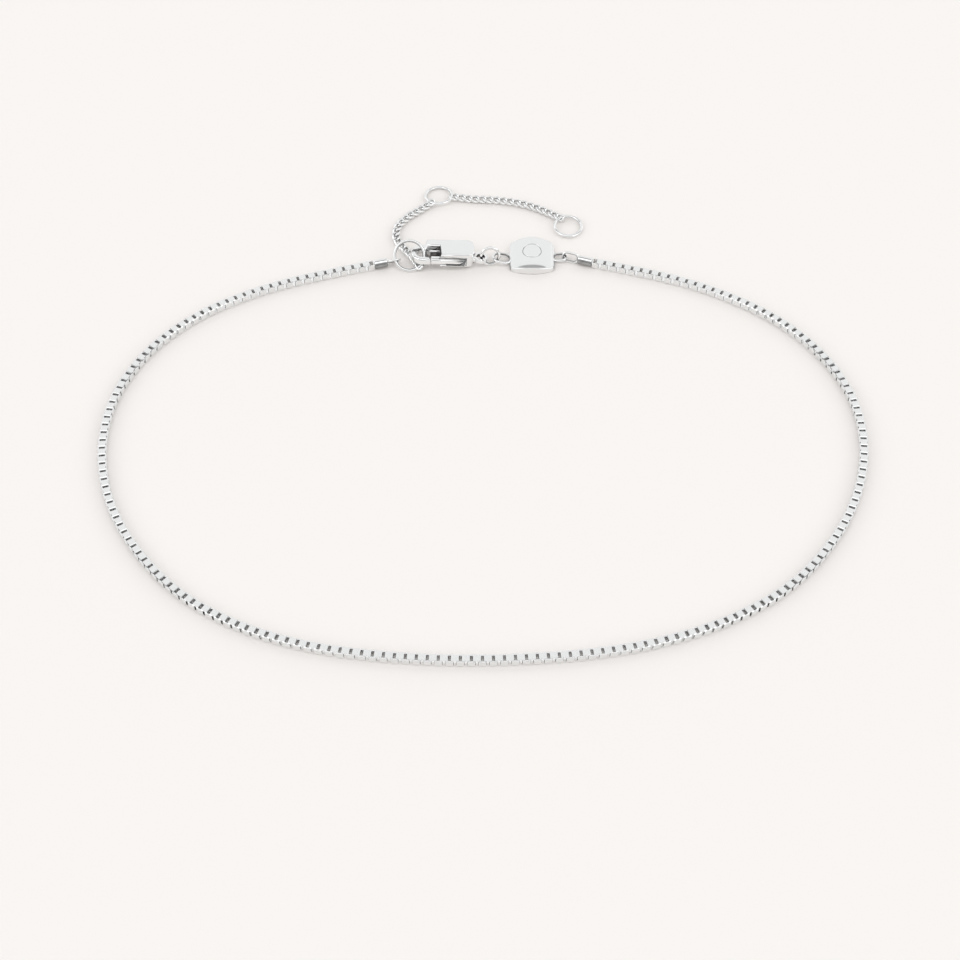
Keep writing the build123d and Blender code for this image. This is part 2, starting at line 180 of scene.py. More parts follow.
# dimmer parts of the light tent: middle, reach either way and soft edge in degrees over the front, reach to
# either side as a share of the direction's length, and brightness
TENT_PARTS = (
    {"middle": 155, "reach": 40, "soft": 12, "width": 0.6, "shade": 0.93},  # the back
    {"middle": 31, "reach": 26, "soft": 5, "width": 0.4, "shade": 0.68},  # card in front
    {"middle": 104, "reach": 11, "soft": 5, "width": 0.7, "shade": 0.40},  # strip overhead
)
TENT_SIDE_SOFT = 0.2
# dim band at the horizon: heights in degrees where it is full and gone, shares of the way forwards where it
# is gone and full, and brightness
HORIZON = {"full": 8, "gone": 24, "back": -0.7, "front": -0.3, "shade": 0.50}


# ---- arrays ----------------------------------------------------------------------------------------------


def unit(rows):
    """Each row divided by its length."""
    rows = np.asarray(rows, float)
    return rows / np.linalg.norm(rows, axis=-1, keepdims=True)


def square_to(axis, wish):
    """The part of each wished direction that is square to the axis, at unit length."""
    along = np.sum(wish * axis, axis=-1, keepdims=True) * axis
    return unit(wish - along)


def smooth_route(points, steps=40):
    """A quadratic B-spline with the given control points and both ends held.

    Each inner point bends one parabola, (1-t)^2 A + 2t(1-t) P + t^2 B, between the middles A and B of the
    legs on its two sides; the first and last parabola start and end on the end points.
    """
    points = np.asarray(points, float)
    middles = (points[1:-2] + points[2:-1]) / 2
    starts = np.vstack([points[:1], middles])[:, None]
    ends = np.vstack([middles, points[-1:]])[:, None]
    t = np.linspace(0, 1, steps, endpoint=False)[None, :, None]
    curve = (1 - t) ** 2 * starts + 2 * t * (1 - t) * points[1:-1, None] + t**2 * ends
    return np.vstack([curve.reshape(-1, 3), points[-1:]])


def stations(curve, distances):
    """Points and unit directions at given distances along a fine polyline."""
    legs = np.linalg.norm(np.diff(curve, axis=0), axis=1)
    reached = np.concatenate([[0], np.cumsum(legs)])
    heading = np.gradient(curve, reached, axis=0)
    at = np.stack([np.interp(distances, reached, curve[:, k]) for k in range(3)], axis=1)
    way = np.stack([np.interp(distances, reached, heading[:, k]) for k in range(3)], axis=1)
    return at, unit(way)


def curve_length(curve):
    """Length of a polyline."""
    return np.linalg.norm(np.diff(curve, axis=0), axis=1).sum()


def grid_faces(rows, columns):
    """Four-sided faces of a grid that closes on itself both ways, as corner numbers."""
    i, j = np.meshgrid(np.arange(rows), np.arange(columns), indexing="ij")
    a = i * columns + j
    b = (i + 1) % rows * columns + j
    c = (i + 1) % rows * columns + (j + 1) % columns
    d = i * columns + (j + 1) % columns
    return np.stack([a, b, c, d], axis=-1).reshape(-1, 4)


def repeated_faces(shape):
    """Faces of many like grids, from the shape (grids, rows, columns, 3) of their corners."""
    count, rows, columns = shape[:3]
    template = grid_faces(rows, columns)[:, ::-1]
    return (template[None] + (np.arange(count) * rows * columns)[:, None, None]).reshape(-1, 4)


def inward(grid):
    """How far each corner of a wire grid faces the middle of its loop: (1 - cos v) / 2 for angle v."""
    sides = grid.shape[-2]
    v = np.arange(sides) * 2 * pi / sides
    return np.broadcast_to((1 - np.cos(v)) / 2, grid.shape[:-1])


def wire_grid(path, radius, sides):
    """Round wire along a closed path: p + r (cos v) n + r (sin v) (t x n) for angle v, where t is the path's
    direction and n points away from the middle of the loop, square to t."""
    ahead = unit(np.roll(path, -1, axis=-2) - np.roll(path, 1, axis=-2))
    outward = square_to(ahead, path - path.mean(axis=-2, keepdims=True))
    third = np.cross(ahead, outward)
    v = np.arange(sides) * 2 * pi / sides
    ring = outward[..., None, :] * np.cos(v)[:, None] + third[..., None, :] * np.sin(v)[:, None]
    return path[..., None, :] + radius * ring


def oval_path(length, width, count):
    """Centre line of a long oval: points evenly spaced round two half circles and two straight sides."""
    radius, half = width / 2, (length - width) / 2
    arc = pi * radius
    total = 2 * arc + 4 * half
    s = np.arange(count) * total / count
    right = s < arc
    top = (s >= arc) & (s < arc + 2 * half)
    left = (s >= arc + 2 * half) & (s < 2 * arc + 2 * half)
    turn = np.where(right, s / radius - pi / 2, (s - 2 * half) / radius - pi / 2)
    x = np.where(right, half + radius * np.cos(turn), -half + radius * np.cos(turn))
    y = radius * np.sin(turn)
    x = np.where(top, half - (s - arc), np.where(right | left, x, -half + (s - 2 * arc - 2 * half)))
    y = np.where(top, radius, np.where(right | left, y, -radius))
    return np.stack([x, y], axis=1)


def lathe_grid(start, end, profile, sides):
    """A turned shape: start + d axis + r (cos v side + sin v third), for each (d, r) of the profile."""
    start, end = np.asarray(start, float), np.asarray(end, float)
    axis = unit(end - start)
    side = square_to(axis, UP)
    third = np.cross(axis, side)
    v = np.arange(sides) * 2 * pi / sides
    outward = np.cos(v)[:, None] * side + np.sin(v)[:, None] * third
    profile = np.asarray(profile, float)
    return start + profile[:, None, :1] * axis + profile[:, None, 1:] * outward


def leaning(lean, turn=0.0):
    """Long direction and normal of a ring whose far side is raised by the lean, then turned about Z."""
    lean, turn = radians(lean), radians(turn)
    across = np.array([cos(turn), sin(turn), 0.0])
    normal = np.array([sin(turn) * sin(lean), -cos(turn) * sin(lean), cos(lean)])
    return across, normal


def propped(ring):
    """Centre, across direction and normal of an extender ring that its chains prop up on one side."""
    low = EXTENDER_RING_WIRE / 2
    slope = (ring["high"] - low) / (2 * EXTENDER_RING_RADIUS)
    side = np.array([cos(radians(ring["raised"])), sin(radians(ring["raised"])), 0.0])
    normal = unit(UP - side * slope)
    across = square_to(normal, np.array([1.0, 0, 0]))
    return np.array([*ring["at"], (ring["high"] + low) / 2]), across, normal


def round_path(at, across, normal, radius):
    """A circle about a point: c + r (cos u) a + r (sin u) (n x a)."""
    u = np.arange(RING_POINTS) * 2 * pi / RING_POINTS
    third = np.cross(normal, across)
    return np.asarray(at) + radius * (np.cos(u)[:, None] * across + np.sin(u)[:, None] * third)


# ---- meshes ----------------------------------------------------------------------------------------------


def new_piece(name, corners, faces, material, smooth=True):
    """A mesh object at the origin, from corners in millimetres and faces as corner numbers."""
    mesh = bpy.data.meshes.new(name)
    mesh.from_pydata((np.asarray(corners).reshape(-1, 3) * MM).tolist(), [], faces.tolist())
    mesh.polygons.foreach_set("use_smooth", np.full(len(mesh.polygons), smooth))
    mesh.update()
    return add_piece(name, mesh, material)


def mark_painted_shading(piece, amount, domain="POINT"):
    """Stores how much painted shading each corner or face takes, from 0 to 1, for the silver to read."""
    amount = np.ascontiguousarray(amount, np.float32).ravel()
    piece.data.attributes.new("painted_shading", "FLOAT", domain).data.foreach_set("value", amount)


def add_piece(name, mesh, material):
    """The object that shows a finished mesh, in one material."""
    piece = bpy.data.objects.new(name, mesh)
    bpy.context.scene.collection.objects.link(piece)
    mesh.materials.append(material)
    return piece


def many_grids(grids):
    """Corners and faces of several closed grids put together."""
    corners, faces, offset = [], [], 0
    for grid in grids:
        corners.append(grid.reshape(-1, 3))
        faces.append(grid_faces(grid.shape[0], grid.shape[1]) + offset)
        offset += corners[-1].shape[0]
    return np.vstack(corners), np.vstack(faces)


def merged_copy(name, node, material, angle):
    """The named CAD solid as one welded mesh, smooth across every edge flatter than the angle."""
    work = bmesh.new()
    work.from_mesh(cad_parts[node].data)
    bmesh.ops.remove_doubles(work, verts=work.verts, dist=1e-7)
    mesh = bpy.data.meshes.new(name)
    work.to_mesh(mesh)
    work.free()
    mesh.polygons.foreach_set("use_smooth", np.ones(len(mesh.polygons), bool))
    mesh.set_sharp_from_angle(angle=radians(angle))
    mesh.materials.clear()
    return add_piece(name, mesh, material)


# ---- materials -------------------------------------------------------------------------------------------

PATCH_SIZE = 0.9  # patches where the painted shading is a little weaker
SOFT_ENDS = {"interpolation_type": "SMOOTHSTEP"}


def linear(hex_colour):
    """An sRGB hex colour as linear red, green, blue and alpha."""
    values = np.array([int(hex_colour[k : k + 2], 16) for k in (1, 3, 5)]) / 255
    values = np.where(values <= 0.04045, values / 12.92, ((values + 0.055) / 1.055) ** 2.4)
    return (*values.tolist(), 1.0)


def add_node(tree, kind, inputs=(), **settings):
    """A node with its settings and its inputs, which are given in order or by name.

    An input is set to a value, or joined to another node's output or to the first output of a node.
    """
    made = tree.nodes.new(kind)
    for name, value in settings.items():
        setattr(made, name, value)
    for name, value in inputs.items() if isinstance(inputs, dict) else enumerate(inputs):
        if isinstance(value, bpy.types.Node):
            value = value.outputs[0]
        if isinstance(value, bpy.types.NodeSocket):
            tree.links.new(value, made.inputs[name])
        else:
            made.inputs[name].default_value = value
    return made


def silver(name, roughness, marks, shading, shading_colour="#2A2928"):
    """Sterling silver: a mirror that is broken by fine handling marks of a given size and depth.

    The marks vary the roughness by a third either way and tilt the surface slightly, so that highlights
    have soft ends and the flats aren't quite even. Real ones are finer, and are drawn as coarse as they
    need to show. Where the piece is marked with painted shading, beginning at the first shading value and
    in full at 1, the metal takes the second as a share of the shading colour. In most pieces that is
    painted shade in dark grey, in recesses, on the inner sides of wires and as a painted reflection on a
    few faces. In the box links it is painted light in white on their inner faces. It is slightly patchy
    there.
    """
    mark_size, mark_depth = marks
    shading_from, shading_share = shading
    material = bpy.data.materials.new(name)
    material.use_nodes = True
    tree = material.node_tree
    place = add_node(tree, "ShaderNodeTexCoord").outputs["Object"]
    fine = {"Vector": place, "Scale": 1 / (mark_size * MM), "Detail": 3.0}
    coarse = {"Vector": place, "Scale": 1 / (PATCH_SIZE * MM), "Detail": 1.0}
    wear = add_node(tree, "ShaderNodeTexNoise", fine)
    patches = add_node(tree, "ShaderNodeTexNoise", coarse)
    by_wear = (wear, 0.3, 0.7, roughness * 0.67, roughness * 1.33)
    varied = add_node(tree, "ShaderNodeMapRange", by_wear, **SOFT_ENDS)
    tilt = add_node(tree, "ShaderNodeBump", {"Height": wear, "Strength": 1.0, "Distance": mark_depth * MM})
    painted_shading = add_node(tree, "ShaderNodeAttribute", attribute_name="painted_shading").outputs["Fac"]
    # painted shading: the marked places take the shading colour, dark grey for shade and white for light
    depth = add_node(tree, "ShaderNodeMapRange", (painted_shading, shading_from, 1.0, 0.0, shading_share), **SOFT_ENDS)
    patchy = add_node(tree, "ShaderNodeMapRange", (patches, 0.35, 0.65, 0.85, 1.0), **SOFT_ENDS)
    share = add_node(tree, "ShaderNodeMath", (depth, patchy), operation="MULTIPLY")
    colours = {"Factor": share, 6: (*settings().silver_colour, 1.0), 7: linear(shading_colour)}
    tone = add_node(tree, "ShaderNodeMix", colours, data_type="RGBA")
    shader = tree.nodes["Principled BSDF"]
    shader.inputs["Metallic"].default_value = 1.0
    tree.links.new(tone.outputs[2], shader.inputs["Base Color"])
    tree.links.new(varied.outputs[0], shader.inputs["Roughness"])
    tree.links.new(tilt.outputs[0], shader.inputs["Normal"])
    return material


# ---- settings --------------------------------------------------------------------------------------------


class AnkletSettings(bpy.types.PropertyGroup):
    """Sizes and colours of the anklet."""

    chain_width: bpy.props.FloatProperty(
        name="Chain width", description="Across the box chain", default=1.0 * MM, unit="LENGTH"
    )
    box_pitch: bpy.props.FloatProperty(
        name="Box link pitch", description="From one box link to the next", default=0.58 * MM, unit="LENGTH"
    )
    box_link: bpy.props.FloatProperty(
        name="Box link length", description="Outside length of a box link", default=0.90 * MM, unit="LENGTH"
    )
    strip_width: bpy.props.FloatProperty(
        name="Strip width", description="Width of a box link's strip", default=0.74 * MM, unit="LENGTH"
    )
    strip_thickness: bpy.props.FloatProperty(
        name="Strip thickness", description="Thickness of the strip", default=0.15 * MM, unit="LENGTH"
    )
    curb_link: bpy.props.FloatProperty(
        name="Curb link length",
        description="Outside length of a curb link",
        default=1.54 * MM,
        unit="LENGTH",
    )
    curb_width: bpy.props.FloatProperty(
        name="Curb link width", description="Outside width of a curb link", default=1.12 * MM, unit="LENGTH"
    )
    curb_wire: bpy.props.FloatProperty(
        name="Curb wire", description="Wire of the curb links", default=0.32 * MM, unit="LENGTH"
    )
    curb_twist: bpy.props.FloatProperty(
        name="Curb twist",
        description="Turn of a curb link's end from its middle",
        default=radians(45),
        subtype="ANGLE",
    )
    silver_colour: bpy.props.FloatVectorProperty(
        name="Silver colour", description="Polished silver", subtype="COLOR", default=linear("#F1F2F2")[:3]
    )
    surface_colour: bpy.props.FloatVectorProperty(
        name="Surface colour",
        description="The surface that the anklet lies on",
        subtype="COLOR",
        default=linear("#FBF7F4")[:3],
    )
    tent_light: bpy.props.FloatProperty(
        name="Tent light", description="Brightness of the white light tent", default=1.50, min=0.0
    )


def settings():
    """The anklet's settings in the open scene."""
    return bpy.context.scene.anklet


# ---- operators -------------------------------------------------------------------------------------------


class ANKLET_OT_box_chain(bpy.types.Operator):
    """Box chain: square links bent from flat strip, each a quarter round from the one before"""

    bl_idname = "anklet.box_chain"
    bl_label = "Box chain"

    def execute(self, context):
        # tumbling leaves flats that blur what they mirror; the insides of the links have painted light in a
        # brighter white
        strip = silver(
            "Silver strip, bent and tumbled",
            roughness=0.14,
            marks=(0.25, 0.001),
            shading=(0.5, 1.0),
            shading_colour="#FEFEFE",
        )
        for side, route, last in (("right", RIGHT_ROUTE, 0), ("left", LEFT_ROUTE, 1)):
            corners, faces = box_links(route, CAPS[side], last)
            piece = new_piece(f"box_links_{side}", corners, faces, strip, smooth=False)
            # painted light: the corners of each link's inner outline are marked, so its inner faces are
            # whiter
            mark_painted_shading(piece, np.tile([0.0, 0.0, 1.0, 1.0], len(corners) // 4))
            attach(piece, "anklet")
            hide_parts(f"box_chain_{side}")
        return {"FINISHED"}


def rounded_loop(length, height, corner):
    """Twelve points of a rounded rectangle: three round each corner, at 0, 45 and 90 degrees."""
    turn = np.radians([0, 45, 90])[None, :] + np.radians([0, 90, 180, 270])[:, None]
    centre_x = np.array([1, -1, -1, 1])[:, None] * (length / 2 - corner)
    centre_y = np.array([1, 1, -1, -1])[:, None] * (height / 2 - corner)
    return np.stack([centre_x + corner * np.cos(turn), centre_y + corner * np.sin(turn)], -1).reshape(-1, 2)


def box_links(route, cap, last):
    """Corners and faces of one half's links, from its cap to the front.

    A link is a strip round a rounded rectangle: outer and inner outlines, each at both edges of the strip.
    A corner is at c + u t + n p + w q, for a link's middle c, the chain's direction t, and p and q square to
    it. Links stand in the vertical plane and lie in the level plane by turns, and the front one stands where
    last is 0 and lies where it is 1.
    """
    s = settings()
    width, length = s.chain_width / MM, s.box_link / MM
    thick, half_strip = s.strip_thickness / MM, s.strip_width / MM / 2
    outer_end, inner_end = np.array(cap["outer"]), np.array(cap["inner"])
    start = outer_end + unit(outer_end - inner_end) * CHAIN_FROM_CAP
    points = [(start[0], start[1], CHAIN_REST)]
    points += [(x, y, CHAIN_REST) for x, y in route]
    points += [(*FRONT_MEETING, CHAIN_REST)]
    curve = smooth_route(points)
    run = curve_length(curve)
    count = round((run - length / 2) / (s.box_pitch / MM) + 0.5)
    pitch = (run - length / 2) / (count - 0.5)
    at, along = stations(curve, length / 2 + pitch * np.arange(count))
    outer = rounded_loop(length, width, LINK_OUTER_CORNER)
    inner = rounded_loop(length - 2 * thick, width - 2 * thick, LINK_INNER_CORNER)
    u = np.stack([outer[:, 0], outer[:, 0], inner[:, 0], inner[:, 0]], axis=1)
    n = np.stack([outer[:, 1], outer[:, 1], inner[:, 1], inner[:, 1]], axis=1)
    w = np.broadcast_to([half_strip, -half_strip, -half_strip, half_strip], u.shape)
    side = np.cross(UP, along)
    standing = ((count - 1 - np.arange(count) + last) % 2 == 0)[:, None]
    plate = np.where(standing, UP, side)
    across = np.where(standing, -side, UP)
    corners = (
        at[:, None, None]
        + u[None, :, :, None] * along[:, None, None]
        + n[None, :, :, None] * plate[:, None, None]
        + w[None, :, :, None] * across[:, None, None]
    )
    return corners.reshape(-1, 3), repeated_faces(corners.shape)


class ANKLET_OT_curb_chain(bpy.types.Operator):
    """Curb chain of the extender: twisted oval wire links that lie nearly flat"""

    bl_idname = "anklet.curb_chain"
    bl_label = "Curb chain"

    def execute(self, context):
        # drawing and twisting leave a lively glint on each link; the wire's inner side has painted shade in
        # grey
        drawn = silver(
            "Silver wire, drawn and twisted",
            roughness=0.12,
            marks=(0.25, 0.002),
            shading=(0.4, 0.4),
        )
        closing = (np.array(CLOSING_RING["at"]), *leaning(CLOSING_RING["lean"]))
        closing_radius = (CLOSING_RING["across"] - CLOSING_RING["wire"]) / 2
        middle, end = propped(MIDDLE_RING), propped(END_RING)
        inner_start = ring_point(closing, closing_radius, INNER_FROM)
        inner_finish = ring_point(middle, EXTENDER_RING_RADIUS, INNER_TO)
        outer_start = ring_point(middle, EXTENDER_RING_RADIUS, OUTER_FROM)
        outer_finish = ring_point(end, EXTENDER_RING_RADIUS, OUTER_TO)
        stretches = (
            ("inner", inner_start, INNER_ROUTE, inner_finish),
            ("outer", outer_start, OUTER_ROUTE, outer_finish),
        )
        for name, start, route, finish in stretches:
            corners, faces, facing_in = curb_links(start, route, finish)
            piece = new_piece(f"curb_links_{name}", corners, faces, drawn)
            # painted shade on the side of each link's wire that faces its middle
            mark_painted_shading(piece, facing_in)
            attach(piece, "anklet")
            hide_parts(f"extender_chain_{name}")
        return {"FINISHED"}


def ring_point(ring, radius, angle):
    """A point on a ring's wire: c + r (cos a) across + r (sin a) third, for the angle a."""
    at, across, normal = ring
    third = np.cross(normal, across)
    return at + radius * (cos(radians(angle)) * across + sin(radians(angle)) * third)


def curb_links(start, route, finish):
    """Corners, faces and painted shade amounts of twisted links spaced evenly between two ring wires.

    Each link's centre line is an oval in (x, y), rolled about the chain by an angle that grows evenly with
    x, so that its two ends stand at right angles to each other.
    """
    s = settings()
    wire = s.curb_wire / MM
    points = [start, *[np.array([x, y, CURB_REST]) for x, y in route], finish]
    curve = through_points(points)
    run = curve_length(curve)
    at, along = stations(curve, np.linspace(CURB_INSET, run - CURB_INSET, CURB_COUNT))
    length, width = s.curb_link / MM - wire, s.curb_width / MM - wire
    flat = oval_path(length, width, CURB_POINTS)
    roll = s.curb_twist * flat[:, 0] / (length / 2)
    level = unit(np.cross(UP, along))
    third = np.cross(along, level)
    paths = (
        at[:, None]
        + flat[None, :, :1] * along[:, None]
        + (flat[:, 1] * np.cos(roll))[None, :, None] * level[:, None]
        + (flat[:, 1] * np.sin(roll))[None, :, None] * third[:, None]
    )
    corners = wire_grid(paths, wire / 2, CURB_SIDES)
    return corners.reshape(-1, 3), repeated_faces(corners.shape), inward(corners)


def through_points(points, steps=30):
    """A curve through each point in turn, with the direction there set by the points on its two sides.

    Between two points it is the cubic (2t^3-3t^2+1) P + (t^3-2t^2+t) p + (3t^2-2t^3) Q + (t^3-t^2) q.
    """
    points = np.asarray(points, float)
    slope = np.gradient(points, axis=0)
    t = np.linspace(0, 1, steps, endpoint=False)[None, :, None]
    a, b = points[:-1, None], points[1:, None]
    p, q = slope[:-1, None], slope[1:, None]
    curve = (2 * t**3 - 3 * t**2 + 1) * a + (t**3 - 2 * t**2 + t) * p + (3 * t**2 - 2 * t**3) * b
    curve = curve + (t**3 - t**2) * q
    return np.vstack([curve.reshape(-1, 3), points[-1:]])


class ANKLET_OT_rings(bpy.types.Operator):
    """Closing ring, jump ring and the extender's two rings, of round wire"""

    bl_idname = "anklet.rings"
    bl_label = "Rings"

    def execute(self, context):
        # polished wire mirrors sharply; the first has painted shade on its inner side, and the second hardly
        # any
        polished = silver(
            "Silver wire, drawn and polished",
            roughness=0.08,
            marks=(0.4, 0.001),
            shading=(0.6, 0.8),
        )
        bright = silver(
            "Silver wire, polished all round",
            roughness=0.08,
            marks=(0.4, 0.001),
            shading=(0.75, 0.2),
        )
        for name, ring in (("closing_ring", CLOSING_RING), ("jump_ring", JUMP_RING)):
            across, normal = leaning(ring["lean"], ring["turn"])
            path = round_path(ring["at"], across, normal, (ring["across"] - ring["wire"]) / 2)
            self.add_ring(name, path, ring["wire"], polished)
        for name, ring in (("extender_ring_middle", MIDDLE_RING), ("extender_ring_end", END_RING)):
            path = round_path(*propped(ring), EXTENDER_RING_RADIUS)
            self.add_ring(name, path, EXTENDER_RING_WIRE, bright)
        return {"FINISHED"}

    def add_ring(self, name, path, wire, material):
        """A ring of round wire in place of the named solid."""
        grid = wire_grid(path, wire / 2, RING_SIDES)
        faces = grid_faces(RING_POINTS, RING_SIDES)[:, ::-1]
        piece = new_piece(f"{name}_polished", grid, faces, material)
        # painted shade on the side of the wire that faces the middle of the ring
        mark_painted_shading(piece, inward(grid))
        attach(piece, "anklet")
        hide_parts(name)


class ANKLET_OT_end_caps(bpy.types.Operator):
    """End caps: short turned barrels, each with a wire eye soldered to it"""

    bl_idname = "anklet.end_caps"
    bl_label = "End caps"

    def execute(self, context):
        # turning leaves one long highlight along the barrel
        turned = silver(
            "Silver tube, turned and polished",
            roughness=0.12,
            marks=(0.3, 0.001),
            shading=(0.4, 0.8),
        )
        for side, cap in CAPS.items():
            outer, inner = np.array(cap["outer"]), np.array(cap["inner"])
            long = np.linalg.norm(inner - outer)
            profile = [*CAP_END, *((long - along, radius) for along, radius in reversed(CAP_END))]
            barrel = lathe_grid(outer, inner, profile, LOOP_POINTS)
            eye_length, eye_width, lean = cap["eye"]
            axis = unit(inner - outer)
            normal = square_to(axis, np.array([0, -sin(radians(lean)), cos(radians(lean))]))
            third = np.cross(normal, axis)
            flat = oval_path(eye_length - EYE_WIRE, eye_width - EYE_WIRE, LOOP_POINTS)
            centre = inner + axis * (eye_length / 2 - EYE_OVERLAP)
            path = centre + flat[:, :1] * axis + flat[:, 1:] * third
            eye = wire_grid(path, EYE_WIRE / 2, LOOP_SIDES)
            piece = self.joined(f"end_cap_{side}_turned", barrel, eye, turned)
            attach(piece, "anklet")
            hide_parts(f"end_cap_{side}")
        return {"FINISHED"}

    def joined(self, name, barrel, eye, material):
        """Barrel and eye as one mesh, the barrel's ends closed at its axis.

        The barrel's lower half in front has a painted reflection in dark grey.
        """
        rows, sides = barrel.shape[:2]
        open_faces = grid_faces(rows, sides).reshape(rows, sides, 4)[:-1].reshape(-1, 4)
        eye_faces = grid_faces(*eye.shape[:2])[:, ::-1] + rows * sides
        corners = np.vstack([barrel.reshape(-1, 3), eye.reshape(-1, 3)])
        piece = new_piece(name, corners, np.vstack([open_faces, eye_faces]), material)
        facing = unit(barrel - barrel.mean(axis=1, keepdims=True) + 1e-9 * UP)
        # painted reflection in dark grey on the barrel's lower half in front, and painted shade on the eye's
        # inner side
        under = CAP_REFLECTION_SHARE * (facing @ CAP_REFLECTION_WAY > CAP_REFLECTION_FROM)
        mark_painted_shading(piece, np.concatenate([under.ravel(), inward(eye).ravel()]))
        close_up(piece)
        piece.data.set_sharp_from_angle(angle=radians(CAP_SMOOTH))
        return piece


class ANKLET_OT_clasp(bpy.types.Operator):
    """Lobster clasp: its cast body and its sprung lever"""

    bl_idname = "anklet.clasp"
    bl_label = "Lobster clasp"

    def execute(self, context):
        # cast metal is polished bright; its recesses and the top of the thumb tab have painted shade in dark
        # grey
        cast = silver(
            "Silver, cast and polished",
            roughness=0.10,
            marks=(0.5, 0.001),
            shading=(0.2, 1.0),
        )
        for node, body in (("clasp_body", "anklet"), ("clasp_lever", "lever")):
            piece = merged_copy(f"{node}_cast", node, cast, CLASP_SMOOTH)
            # painted shade in dark grey on the clasp's recesses and its thumb tab
            mark_painted_shading(piece, self.shaded_faces(piece.data), "FACE")
            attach(piece, body)
            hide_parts(node)
        return {"FINISHED"}

    def shaded_faces(self, mesh):
        """How much painted shade each face has, from 0 to 1.

        That is in the hook's mouth, in the lever's slot, in the tail's eye and low on the thumb tab. Places
        are in millimetres from the nose: x towards the tail, y across from the lever and z up.
        """
        centre, facing = np.empty(len(mesh.polygons) * 3), np.empty(len(mesh.polygons) * 3)
        mesh.polygons.foreach_get("center", centre)
        mesh.polygons.foreach_get("normal", facing)
        turned = np.stack(clasp_axes(), axis=1)
        nose = CLASP_TAIL - turned[:, 0] * CLASP_LONG
        x, y, z = ((centre.reshape(-1, 3) / MM - nose) @ turned).T
        along, across, up = (facing.reshape(-1, 3) @ turned).T
        far_wall = (across < -0.5) & (up < 0.25) & (y > 1.0) & (x > 2.0) & (x < 7.0)
        near_nose = far_wall & (x < 2.9)
        mouth_end = (along < -0.5) & (x > 3.5) & (x < 3.7) & (y > 0.6) & (y < 2.0)
        in_slot = (x > 3.5) & (x < 7.0) & (y > 0.1) & (y < 2.0) & (z > 0.2) & (z < 1.45)
        in_eye = (np.hypot(x - CLASP_LONG, y - 0.75) < 0.6) & (np.abs(up) < 0.5)
        on_tab = (x > 4.0) & (y < 0.0) & (z < 1.0) & (up > 0.4)
        full = (far_wall & ~near_nose) | mouth_end | in_eye | on_tab
        return np.select([full, near_nose, in_slot], [1.0, NOSE_SHADE, SLOT_SHADE], 0.0)


def clasp_axes():
    """The clasp's long direction from nose to tail, its direction across from the lever, and its upright."""
    pitch, yaw, roll = radians(CLASP_PITCH), radians(CLASP_YAW), radians(CLASP_ROLL)
    long = np.array([cos(pitch) * cos(yaw), cos(pitch) * sin(yaw), -sin(pitch)])
    plain_up = square_to(long, UP)
    plain_wide = np.cross(plain_up, long)
    upright = sin(roll) * plain_wide + cos(roll) * plain_up
    return long, np.cross(upright, long), upright


class ANKLET_OT_tag(bpy.types.Operator):
    """Domed square tag with an engraved circle and its two soldered loops"""

    bl_idname = "anklet.tag"
    bl_label = "Tag"

    def execute(self, context):
        # stamped sheet has a soft, nearly even shine, and a dark engraved line
        stamped = silver(
            "Silver sheet, stamped and polished",
            roughness=0.14,
            marks=(0.6, 0.001),
            shading=(0.4, 0.8),
        )
        plate, dark_groove_and_shade = tag_plate()
        grids, painted_shadings = [plate], [dark_groove_and_shade]
        for loop in TAG_LOOPS:
            along = np.array([cos(radians(loop["tilt"])), 0, -sin(radians(loop["tilt"]))])
            flat = oval_path(loop["length"] - TAG_LOOP_WIRE, loop["width"] - TAG_LOOP_WIRE, LOOP_POINTS)
            path = np.array(loop["at"]) + flat[:, :1] * along + flat[:, 1:] * np.array([0, 1.0, 0])
            grids.append(wire_grid(path, TAG_LOOP_WIRE / 2, LOOP_SIDES))
            # painted shade on the inner side of each loop's wire
            painted_shadings.append(inward(grids[-1]))
        corners, faces = many_grids(grids)
        row = faces // TAG_DIRECTIONS
        from_pole_to_pole = (row == 0).any(axis=1) & (row == len(plate) - 1).any(axis=1)
        piece = new_piece("tag_stamped", corners, faces[~from_pole_to_pole], stamped)
        mark_painted_shading(piece, np.concatenate([painted_shading.ravel() for painted_shading in painted_shadings]))
        close_up(piece)
        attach(piece, "anklet")
        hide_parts("tag")
        return {"FINISHED"}


def tag_outline():
    """Distance from the middle of the tag to its outline, for each direction a.

    It is the nearer of the two straight sides, x = half width, and the two bowed edges,
    y = half depth - bow (x / half width)^2, rounded where they meet.
    """
    a = (np.arange(TAG_DIRECTIONS) + 0.5) * 2 * pi / TAG_DIRECTIONS
    half_width, half_depth = TAG_WIDTH / 2, TAG_DEPTH / 2
    bend = TAG_BOW * np.cos(a) ** 2 / half_width**2 + 1e-9
    rise = np.abs(np.sin(a))
    to_edge = (np.sqrt(rise**2 + 4 * bend * half_depth) - rise) / (2 * bend)
    to_side = half_width / np.abs(np.cos(a))
    return a, (to_edge**-TAG_CORNER_POWER + to_side**-TAG_CORNER_POWER) ** (-1 / TAG_CORNER_POWER)


